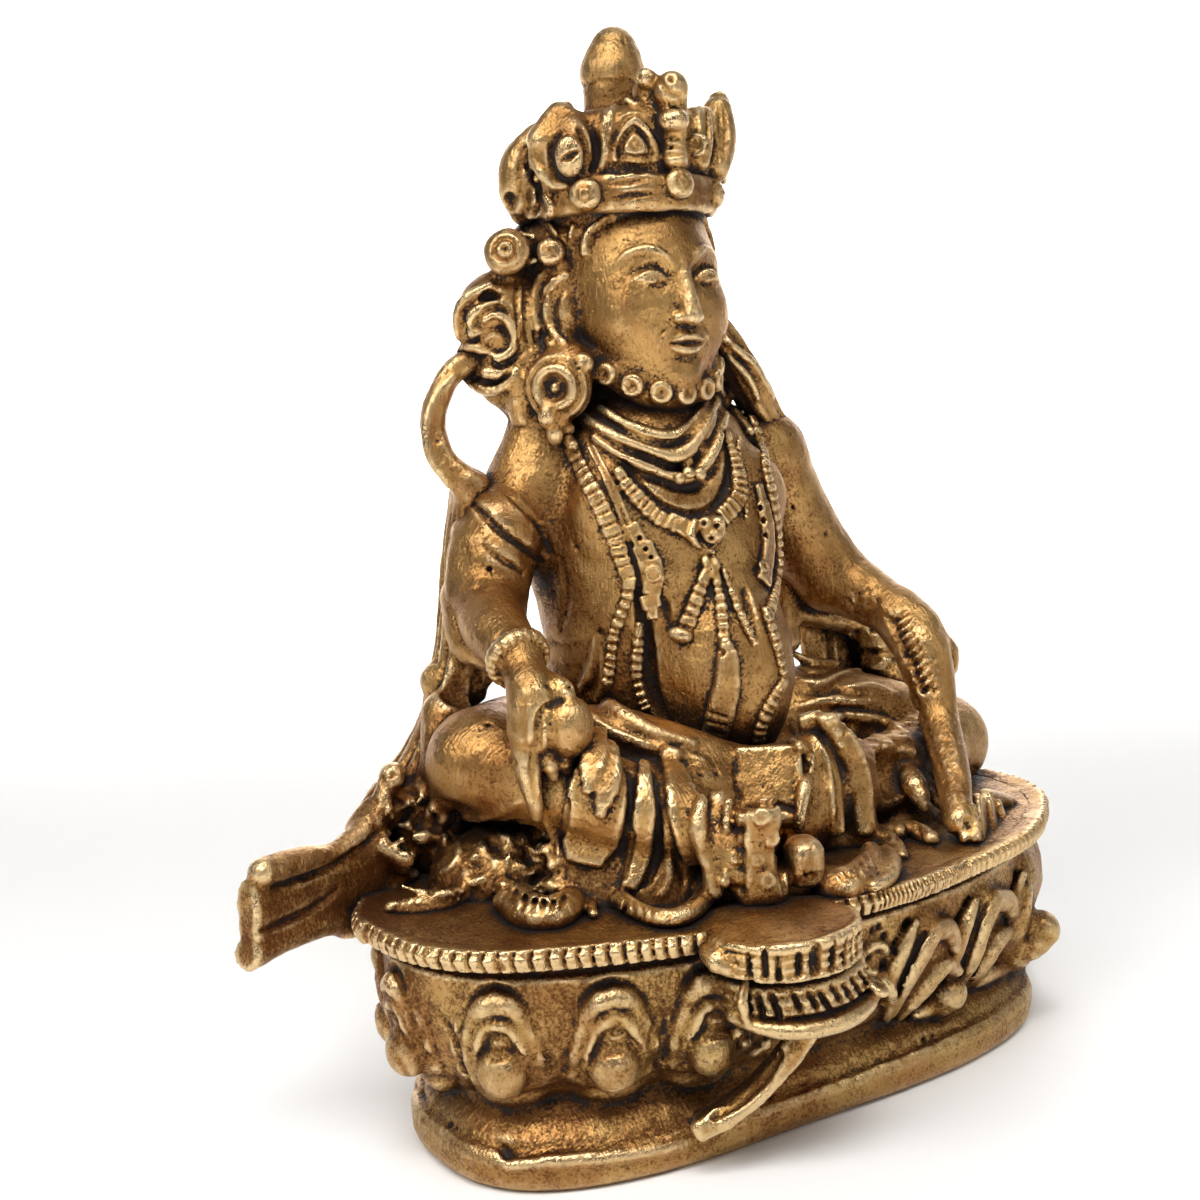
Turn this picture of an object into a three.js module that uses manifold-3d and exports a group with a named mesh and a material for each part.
// A seated figure of the wealth god Kubera on a lotus base, cast in brass as one piece.
// Millimetres. +X is the figure's left, -Y its front, +Z up. The origin is on the underside,
// where the line of the base's greatest length crosses the middle plane.
import * as THREE from "three";
import { mergeVertices } from "three/addons/utils/BufferGeometryUtils.js";
import Module from "manifold-3d";

const wasm = await Module();
wasm.setup();

// Driving dimensions
const HEIGHT = 100;
const BASE_HALF_LENGTH = 37.7;
const BASE_FRONT = 21.1;
const BASE_BACK = 26.4;
const FRONT_FULLNESS = 2.2;
const BACK_FULLNESS = 1.7;
const FOOT_FULLNESS = 0.7;
const FOOT_BACK_FULLNESS = 0.1;
const WAIST_Z = 7.2;
const PLATE_Z = 21.8;
const RIM_Z = 20.6;
const BASE_SIDES = 36;
const PETALS = 20;
const PETAL_INSET = 2.8;
const PETAL_HALF_WIDTH = 4.0;
const PETAL_HALF_HEIGHT = 4.8;
const PETAL_Z = 13.6;
const PETAL_BEAD_Z = 11.2;
// How far a petal swells from the base, at the figure's right end and at its left end
const PETAL_SWELL = [1.5, 2.9];
// No petals stand behind this line: the back of the base is plain.
const PETALS_END_Y = 20;
const HEAD_WIDTH = 16.6;
const TAIL_REACH = 46.5;
const FOLDS = 5;
const JEWEL_BARS = 4;
const JEWELS_X = 19.8;
const JEWEL_STEP = 1.9;

// The base's profile from the underside up: how far in from the rim, and how high
const BASE_PROFILE = [
  [5.2, 0],
  [4.3, 1.2],
  [4.3, 3.4],
  [6.2, 5.8],
  [7.0, WAIST_Z],
  [4.8, 9.6],
  [3.0, 15.0],
  [2.4, RIM_Z - 0.3],
  [0, RIM_Z],
  [0, PLATE_Z],
];

// The pose: joints and thicknesses of the body
const BODY = {
  hipRight: [-10, 14, 29],
  kneeRight: [-23.4, 3.6, 33],
  ankleRight: [-9.4, -12.5, 27.5],
  hipLeft: [11, 14, 28.5],
  kneeLeft: [31.6, 3.4, 25.8],
  hemLeft: [8.5, -7.6, 28.2],
  shoulderRight: [-13.6, 13, 58],
  elbowRight: [-19.8, 9, 46.6],
  wristRight: [-21.6, -0.8, 43.4],
  shoulderLeft: [15, 11.6, 57.6],
  elbowLeft: [21.8, 9.6, 44.6],
  handLeft: [24.2, 1.4, 40.4],
  neck: [-0.8, 11.5, 62.5],
  head: [-1, 10.8, 74],
};
// Half sizes of the rounded masses: across, front to back, and up
const MASS = {
  belly: [14.2, 13.2, 12.2],
  chest: [14.2, 10, 10.5],
  seat: [18, 11.5, 8.5],
  lap: [22, 11.5, 5.6],
  skull: [HEAD_WIDTH / 2, 9.4, 11],
  jaw: [6.4, 6.2, 5.2],
  nose: [1.3, 1.4, 2.4],
  hair: [9.4, 8.4, 11],
  ear: [1.4, 2.4, 3.6],
  rosette: [2.3, 2.1, 2.4],
  earDisc: [2.3, 2.4, 2.3],
  earDrop: [1.9, 3.2, 2.0],
  fruit: [2.6, 2.6, 3.0],
  petalBead: [2.2, 2.0, 2.4],
  restLobe: [6.6, 6.6, 2.0],
  restFlower: [7.2, 5.6, 3.4],
  crownKnob: [2.4, 2.0, 3.4],
};
// Radii of the limbs along their length
const LIMB = {
  yoke: [4.6, 5.6, 4.6],
  throat: [5.2, 4.8],
  thigh: [6.4, 5.6, 4.6],
  shinRight: [4.4, 3.6, 2.6],
  shinLeft: [4.6, 4.4, 4.2],
  upperArm: [4.7, 4.6, 4.0],
  foreArm: [4.0, 3.4, 2.8],
  palm: [2.5, 2.8, 2.2, 1.1],
  fold: [1.3, 1.8, 1.9],
  curls: [3, 3.2, 2.6],
  lock: [1.8, 2.2, 2.2, 1.8],
  string: [1.3, 1.3, 1.2, 1.1],
  jewelBar: [1.1, 1.2, 1.2],
};
const CHIN_BACK = 3.4;
const NOSE_OUT = 9.6;
// How far the hair and ear ornaments of the figure's left side lie inward and back
const LEFT_EAR_SHIFT = [1.6, 2.6];
const LEFT_LOCK = [
  [6.8, 9, 71.4],
  [9.6, 9.6, 67.6],
  [12.4, 10, 64],
  [15.6, 11, 60.4],
];
const CROWN_Z = 83.4;
const CROWN_RADIUS = 9.8;
const CROWN_SHIFT = [-0.5, 0.9];
// Each crown leaf: its bearing from the front in degrees, its half height, and its lift over the band
const CROWN_LEAVES = [
  [-112, 4.4, 2.4],
  [-66, 4.2, 4.2],
  [-32, 3.4, 4.6],
  [-2, 3.8, 4.8],
  [40, 4.4, 5.4],
  [84, 4.2, 4.6],
];
const LEAF_WIDTH = 0.72;
const LEAF_THICK = 1.9;
const BUN_RADIUS = 3.2;
const BUN_HEIGHT = 4.4;

const UP = new THREE.Vector3(0, 0, 1);
const LEFTWARD = new THREE.Vector3(1, 0, 0);
const BACKWARD = new THREE.Vector3(0, 1, 0);
const radians = THREE.MathUtils.degToRad;
const vec = (p) => new THREE.Vector3(...p);

// A closed geometry as a solid, turned to face outwards.
function solid(geometry) {
  geometry.deleteAttribute("normal");
  geometry.deleteAttribute("uv");
  const merged = mergeVertices(geometry, 1e-4);
  const corners = merged.index.array;
  const triVerts = [];
  for (let i = 0; i < corners.length; i += 3) {
    const [a, b, c] = [corners[i], corners[i + 1], corners[i + 2]];
    if (a !== b && b !== c && a !== c) triVerts.push(a, b, c);
  }
  const build = (order) =>
    new wasm.Manifold(
      new wasm.Mesh({
        numProp: 3,
        vertProperties: new Float32Array(merged.attributes.position.array),
        triVerts: new Uint32Array(order),
      }),
    );
  const made = build(triVerts);
  return made.volume() > 0 ? made : build(triVerts.reverse());
}

// Every vertex of a geometry moved by a rule.
function reshape(geometry, rule) {
  const place = geometry.attributes.position;
  const point = new THREE.Vector3();
  for (let i = 0; i < place.count; i++) {
    rule(point.fromBufferAttribute(place, i));
    place.setXYZ(i, point.x, point.y, point.z);
  }
  return geometry;
}

// The value at t, from 0 to 1, of a list of evenly spaced values.
function along(list, t) {
  const x = t * (list.length - 1);
  const i = Math.min(Math.floor(x), list.length - 2);
  return THREE.MathUtils.lerp(list[i], list[i + 1], x - i);
}

// A limb or a fold: elliptical rings along a smooth curve, with domed ends.
// The widths lie level, the heights stand across them.
function limb(points, widths, options = {}) {
  const { heights = widths, sides = 6, rings = 7, up = UP } = options;
  const curve = new THREE.CatmullRomCurve3(points.map(vec));
  const cap = (2 * Math.PI) / rings;
  const ball = new THREE.SphereGeometry(1, sides, rings);
  return solid(
    reshape(ball, (p) => {
      const polar = Math.acos(THREE.MathUtils.clamp(p.y, -1, 1));
      const turn = Math.atan2(p.z, p.x);
      const s = THREE.MathUtils.clamp((polar - cap) / (Math.PI - 2 * cap), 0, 1);
      const dome = Math.min(1, Math.min(polar, Math.PI - polar) / cap) * (Math.PI / 2);
      const tangent = curve.getTangent(s);
      const across = new THREE.Vector3().crossVectors(up, tangent).normalize();
      const over = new THREE.Vector3().crossVectors(tangent, across);
      const width = along(widths, s);
      const height = along(heights, s);
      const push = Math.cos(dome) * Math.min(width, height) * (polar < Math.PI / 2 ? -1 : 1);
      p.copy(curve.getPoint(s))
        .addScaledVector(tangent, push)
        .addScaledVector(across, Math.cos(turn) * width * Math.sin(dome))
        .addScaledVector(over, Math.sin(turn) * height * Math.sin(dome));
    }),
  );
}

// An ellipsoid, turned by degrees about X, Y and Z.
function blob(centre, radii, turn = [0, 0, 0], sides = 8, rings = 5) {
  const ball = new THREE.SphereGeometry(1, sides, rings);
  ball.rotateX(Math.PI / 2);
  ball.scale(...radii);
  ball.applyMatrix4(
    new THREE.Matrix4().makeRotationFromEuler(new THREE.Euler(...turn.map(radians), "XYZ")),
  );
  ball.translate(...centre);
  return solid(ball);
}

// The base's outline at an angle, at a distance in from the rim. The foot's corners are fuller.
function rimPoint(angle, inset, extra = 0) {
  const c = Math.cos(angle);
  const s = Math.sin(angle);
  const fullness = (s < 0 ? FRONT_FULLNESS : BACK_FULLNESS) + extra;
  const depth = (s < 0 ? BASE_FRONT : BASE_BACK) - inset;
  const bend = (v) => Math.sign(v) * Math.abs(v) ** (2 / fullness);
  return new THREE.Vector2((BASE_HALF_LENGTH - inset) * bend(c), depth * bend(s));
}

// The outline's angles at even steps of its length.
function evenAngles(count, inset) {
  const fine = 720;
  const walk = [0];
  for (let i = 1; i <= fine; i++) {
    const a = rimPoint(((i - 1) / fine) * 2 * Math.PI, inset);
    const b = rimPoint((i / fine) * 2 * Math.PI, inset);
    walk.push(walk[i - 1] + a.distanceTo(b));
  }
  return Array.from({ length: count }, (_, k) => {
    const goal = ((k + 0.5) / count) * walk[fine];
    return (walk.findIndex((w) => w >= goal) / fine) * 2 * Math.PI;
  });
}

function lotusBase() {
  const profile = [
    new THREE.Vector2(0, 0),
    ...BASE_PROFILE.map(([inset, z]) => new THREE.Vector2(BASE_HALF_LENGTH - inset, z)),
    new THREE.Vector2(0, PLATE_Z),
  ];
  const sides = BASE_SIDES;
  const turned = new THREE.LatheGeometry(profile, sides);
  const steps = evenAngles(sides, PETAL_INSET);
  return solid(
    reshape(turned, (p) => {
      const reach = Math.hypot(p.x, p.z);
      const height = p.y;
      const step = Math.round((Math.atan2(p.z, p.x) / (2 * Math.PI)) * sides + sides) % sides;
      const angle = steps[step];
      const fuller = Math.sin(angle) < 0 ? FOOT_FULLNESS : FOOT_BACK_FULLNESS;
      const extra = height < WAIST_Z ? fuller : 0;
      const inset = BASE_HALF_LENGTH - reach;
      const place = reach < 1 ? new THREE.Vector2() : rimPoint(angle, inset, extra);
      p.set(place.x, place.y, height);
    }),
  );
}

// One lotus petal: an upright leaf that bulges from the side of the base, with a bead low on it.
function petal(angle) {
  const here = rimPoint(angle, PETAL_INSET);
  const next = rimPoint(angle + 0.02, PETAL_INSET);
  const facing = THREE.MathUtils.radToDeg(Math.atan2(next.y - here.y, next.x - here.x)) + 180;
  const out = new THREE.Vector2(next.y - here.y, here.x - next.x).normalize();
  const across = (here.x + BASE_HALF_LENGTH) / (2 * BASE_HALF_LENGTH);
  const swell = along(PETAL_SWELL, THREE.MathUtils.clamp(across, 0, 1));
  const low = [here.x + out.x * swell * 0.7, here.y + out.y * swell * 0.7, PETAL_BEAD_Z];
  const size = [PETAL_HALF_WIDTH, swell, PETAL_HALF_HEIGHT];
  const leaf = blob([here.x, here.y, PETAL_Z], size, [0, 0, facing], 6, 4);
  const bead = blob(low, MASS.petalBead, [0, 0, facing], 5, 4);
  return leaf.add(bead);
}

const isPetalPlace = (angle) => rimPoint(angle, PETAL_INSET).y < PETALS_END_Y;

// The small lotus for the pendant foot: a ribbed lobe of the rim, a half flower below it and its stem.
function footRest() {
  const lobe = blob([-8.6, -21.2, 20.0], MASS.restLobe, [0, 0, 0], 10, 5);
  const flower = blob([-6.6, -20.6, 15.0], MASS.restFlower, [0, 8, 0], 9, 5);
  const stem = limb(
    [
      [-17.5, -16.2, 2.2],
      [-14.2, -18.6, 5.0],
      [-10.4, -21.2, 9.2],
      [-7.8, -22.0, 13.4],
    ],
    [1.2, 1.5, 1.7, 1.6],
    { sides: 5, rings: 7 },
  );
  return lobe.add(flower).add(stem);
}

function torso() {
  const { shoulderRight, shoulderLeft, neck } = BODY;
  const belly = blob([-1.2, 8.4, 40], MASS.belly, [0, 0, 0], 11, 8);
  const chest = blob([0.2, 12, 53], MASS.chest, [0, 0, 0], 10, 6);
  const yoke = limb([shoulderRight, [0.5, 13.2, 59.4], shoulderLeft], LIMB.yoke);
  const seat = blob([0, 13.5, 28], MASS.seat, [0, 0, 0], 9, 4);
  const throat = limb([neck, [-0.9, 11.3, 67]], LIMB.throat, { rings: 5 });
  return belly.add(chest).add(yoke).add(seat).add(throat);
}

// Knee-length cloth over both legs, with the folds that fall to the plate.
function legs() {
  const { hipRight, kneeRight, ankleRight, hipLeft, kneeLeft, hemLeft } = BODY;
  const thighRight = limb([hipRight, [-17.5, 8.5, 31.4], kneeRight], LIMB.thigh);
  const shinRight = limb([kneeRight, [-17, -5, 31], ankleRight], LIMB.shinRight);
  const thighLeft = limb([hipLeft, [22, 9, 28.6], kneeLeft], LIMB.thigh);
  const shinLeft = limb([kneeLeft, [21, -3.4, 26.6], hemLeft], LIMB.shinLeft);
  const lap = blob([0, 2, 25.5], MASS.lap, [0, 0, 0], 9, 4);
  let all = thighRight.add(shinRight).add(thighLeft).add(shinLeft).add(lap);
  for (let i = 0; i < FOLDS; i++) {
    const t = i / (FOLDS - 1);
    const top = vec([-18.4, -2.2, 33.6]).lerp(vec([-10.4, -11, 31.4]), t);
    const foot = vec([-22.4, -5.4, PLATE_Z]).lerp(vec([-12.6, -14.2, PLATE_Z]), t);
    const middle = top.clone().lerp(foot, 0.5).add(new THREE.Vector3(-0.9, -1.2, 0.6));
    const line = [top.toArray(), middle.toArray(), foot.toArray()];
    all = all.add(limb(line, LIMB.fold, { sides: 5, rings: 5, up: LEFTWARD }));
  }
  const hem = limb(
    [
      [5.4, -10.2, PLATE_Z],
      [5.8, -10.6, 29],
      [7.4, -8.8, 33],
      [10.2, -8.2, 31],
      [11.2, -9.4, 25],
    ],
    [1.5, 1.5, 1.6, 1.5, 1.2],
    { sides: 5, up: BACKWARD },
  );
  return all.add(hem);
}

function feet() {
  const right = limb(
    [
      [-9.6, -12.4, 28],
      [-8.0, -16.6, 25.4],
      [-6.2, -18.6, 23.4],
    ],
    [2.4, 2.8, 3.0],
    { heights: [2.6, 2.6, 2.0] },
  );
  const left = limb(
    [
      [6.4, -8.4, 28.6],
      [0, -10.4, 28.8],
      [-5.8, -10.2, 29.2],
    ],
    [2.6, 2.8, 2.6],
    { heights: [4.2, 4.6, 4.4] },
  );
  return right.add(left);
}

function arms() {
  const { shoulderRight, elbowRight, wristRight, shoulderLeft, elbowLeft, handLeft } = BODY;
  const upperRight = limb([shoulderRight, [-17.4, 11.6, 52.5], elbowRight], LIMB.upperArm, { rings: 6 });
  const foreRight = limb([elbowRight, [-21.4, 4, 45], wristRight], LIMB.foreArm, { rings: 6 });
  const palm = limb(
    [wristRight, [-22.2, -4, 40.2], [-22.4, -5.2, 35.2], [-22.6, -5.2, 29.6]],
    LIMB.palm,
    { up: LEFTWARD },
  );
  const fruit = blob([-19.9, -6.2, 37.6], MASS.fruit, [0, 0, 0], 7, 5);
  const upperLeft = limb([shoulderLeft, [17.6, 11.4, 51.4], elbowLeft], LIMB.upperArm, { rings: 6 });
  const foreLeft = limb([elbowLeft, [23.6, 5.6, 42.4], handLeft], LIMB.foreArm, { rings: 6 });
  return upperRight.add(foreRight).add(palm).add(fruit).add(upperLeft).add(foreLeft);
}

// The mongoose under the left hand, its neck stretched down to the plate, and the jewels it spills.
function mongoose() {
  const body = limb(
    [
      [25.4, 2.2, 40.6],
      [24.8, -1.8, 37.4],
      [23.6, -4.6, 31],
      [20.4, -10.4, 26.4],
      [17.6, -14.4, 22.8],
    ],
    [3.0, 3.2, 2.2, 1.9, 1.8],
    { rings: 9 },
  );
  let all = body;
  for (let i = 0; i < JEWEL_BARS; i++) {
    const x = JEWELS_X + i * JEWEL_STEP;
    const ridge = [
      [x + 1.2, -8.6 + i * 0.9, 25.6 - i * 0.5],
      [x + 0.6, -12 + i * 0.8, 24.2],
      [x, -14.6 + i * 0.9, PLATE_Z],
    ];
    all = all.add(limb(ridge, LIMB.jewelBar, { sides: 5, rings: 5 }));
  }
  return all;
}

// The scarf: a loop from the hair to the right arm, then a web down the outline, and the tail that
// flares out beyond the base on the figure's right. A second web hangs behind the left arm.
function scarf() {
  const loop = limb(
    [
      [-14.6, 15, 68.6],
      [-18.8, 15.4, 67.2],
      [-20.9, 15, 62.4],
      [-18.8, 12.6, 57.2],
    ],
    [1.9, 1.6, 1.5, 2.0],
    { rings: 9, up: BACKWARD },
  );
  const web = limb(
    [
      [-17.0, 14, 56],
      [-19.8, 13.8, 44],
      [-23.0, 12.6, 35],
      [-28.6, 9.8, 27.4],
    ],
    [1.8, 2.2, 2.4, 2.6],
    { heights: [2.6, 3.0, 3.8, 4.4], up: BACKWARD },
  );
  const tail = limb(
    [
      [-24.6, 10.8, 27],
      [-32.4, 8.2, 23.8],
      [-39.4, 5.6, 23.0],
      [-TAIL_REACH + 1.2, 3.6, 23.8],
    ],
    [2.2, 2.2, 2.3, 2.4],
    { heights: [5.0, 3.8, 3.8, 4.8], rings: 8 },
  );
  const wrap = limb(
    [
      [-20.6, 12, 57],
      [-20.2, 7, 54.4],
      [-15.6, 4.2, 50.6],
    ],
    [1.5, 2.0, 1.0],
    { heights: [2.2, 2.6, 1.2] },
  );
  const webLeft = limb(
    [
      [17.4, 15.0, 54],
      [23.4, 15.4, 46],
      [27.2, 15.2, 39],
      [27.4, 13.6, 30],
    ],
    [3.0, 3.6, 5.6, 6.2],
    { heights: [1.6, 1.4, 1.4, 2.0], sides: 5, up: BACKWARD },
  );
  return loop.add(web).add(tail).add(wrap).add(webLeft);
}

function head() {
  const [x, y, z] = BODY.head;
  const skull = blob([x, y, z + 1], MASS.skull, [0, 0, 0], 11, 7);
  const jaw = blob([x - 0.4, y - CHIN_BACK, z - 5.4], MASS.jaw, [0, 0, 0], 9, 4);
  const nose = blob([x - 0.6, y - NOSE_OUT, z - 0.6], MASS.nose, [-12, 0, 0], 5, 4);
  const hair = blob([x, y + 3.4, z], MASS.hair, [0, 0, 0], 9, 5);
  let all = skull.add(jaw).add(nose).add(hair);
  // Both sides: the ear, the paired rosettes over it, the curls behind it, and the ear disc.
  // The figure's left side lies closer to the head.
  for (const side of [-1, 1]) {
    const [inward, back] = side > 0 ? LEFT_EAR_SHIFT : [0, 0];
    const at = (dx, dy, dz) => [x + side * (dx - inward), y + dy + back, z + dz];
    all = all.add(blob(at(9.0, -0.6, -0.4), MASS.ear, [0, 0, 0], 6, 4));
    all = all.add(blob(at(9.2, 0.4, 4.7), MASS.rosette, [0, 0, 0], 6, 4));
    all = all.add(blob(at(11.8, 3.4, 4.4), MASS.rosette, [0, 0, 0], 6, 4));
    all = all.add(limb([at(9, 4, 1.6), at(13.4, 4, -1), at(13.8, 3.8, -7)], LIMB.curls, { rings: 6 }));
    all = all.add(blob(at(11.2, -3.2, -8.2), MASS.earDisc, [0, 0, 0], 6, 4));
    all = all.add(blob(at(11.2, -4.6, -12), MASS.earDrop, [0, 0, 0], 6, 4));
  }
  const lock = limb(LEFT_LOCK, LIMB.lock, { rings: 6 });
  return all.add(lock);
}

// The crown: a band with leaves round its front and sides, a knob over its middle, and the bun
// of hair above. Its back is plain.
function crown() {
  const x = BODY.head[0] + CROWN_SHIFT[0];
  const y = BODY.head[1] + CROWN_SHIFT[1];
  const band = [
    new THREE.Vector2(0, CROWN_Z - 3.2),
    new THREE.Vector2(CROWN_RADIUS - 0.6, CROWN_Z - 2.8),
    new THREE.Vector2(CROWN_RADIUS, CROWN_Z),
    new THREE.Vector2(CROWN_RADIUS - 0.7, CROWN_Z + 1.4),
    new THREE.Vector2(CROWN_RADIUS - 2.2, CROWN_Z + 5.6),
    new THREE.Vector2(4.0, CROWN_Z + 8.4),
    new THREE.Vector2(3.0, CROWN_Z + 10.4),
    new THREE.Vector2(0, CROWN_Z + 10.6),
  ];
  const core = new THREE.LatheGeometry(band, 14);
  core.rotateX(Math.PI / 2);
  core.translate(x, y, 0);
  const bunCentre = [x + 0.7, y + 0.9, HEIGHT - BUN_HEIGHT];
  let all = solid(core).add(blob(bunCentre, [BUN_RADIUS, BUN_RADIUS, BUN_HEIGHT]));
  for (const [degrees, size, lift] of CROWN_LEAVES) {
    const turn = radians(degrees);
    const reach = CROWN_RADIUS - 0.5;
    const centre = [x + reach * Math.sin(turn), y - reach * Math.cos(turn), CROWN_Z + lift];
    all = all.add(blob(centre, [size * LEAF_WIDTH, LEAF_THICK, size], [0, 0, degrees], 6, 4));
  }
  const knob = blob([x + 0.6, y - 9.0, CROWN_Z + 7.6], MASS.crownKnob, [0, 0, 0], 6, 5);
  return all.add(knob);
}

// Long strings over the chest and belly, and the collar.
function jewellery() {
  let all = limb(
    [
      [-9.6, 4.4, 60.4],
      [-4.8, 0.6, 54.2],
      [-0.9, -0.6, 51.6],
      [4.6, 1.0, 54.6],
      [9.4, 4.6, 59.8],
    ],
    [0.9, 0.9, 1.5, 0.9, 0.9],
    { sides: 4, rings: 8 },
  );
  for (const side of [-1, 1]) {
    const line = [
      [-0.6 + side * 11, 5.2, 59.4],
      [-0.8 + side * 9.4, 2.2, 52],
      [-1 + side * 9.4, -1.8, 44],
      [-1.4 + side * 9.2, -2.2, 36.4],
    ];
    all = all.add(limb(line, LIMB.string, { sides: 4 }));
  }
  return all;
}

const pieces = [
  lotusBase(),
  ...evenAngles(PETALS, PETAL_INSET).filter(isPetalPlace).map(petal),
  footRest(),
  torso(),
  legs(),
  feet(),
  arms(),
  mongoose(),
  scarf(),
  head(),
  crown(),
  jewellery(),
];
const whole = pieces.reduce((sum, piece) => sum.add(piece));

function meshOf(name, made, material) {
  const { numProp, vertProperties, triVerts } = made.getMesh();
  const count = vertProperties.length / numProp;
  const positions = new Float32Array(count * 3);
  for (let i = 0; i < count; i++) {
    positions.set(vertProperties.subarray(i * numProp, i * numProp + 3), i * 3);
  }
  const geometry = new THREE.BufferGeometry();
  geometry.setAttribute("position", new THREE.BufferAttribute(positions, 3));
  geometry.setIndex(new THREE.BufferAttribute(triVerts, 1));
  geometry.computeVertexNormals();
  const mesh = new THREE.Mesh(geometry, material);
  mesh.name = name;
  return mesh;
}

const brass = new THREE.MeshStandardMaterial({ color: 0xb98c48, roughness: 0.38, metalness: 1 });
const statue = new THREE.Group();
statue.add(meshOf("kubera_statue", whole, brass));

export default statue;
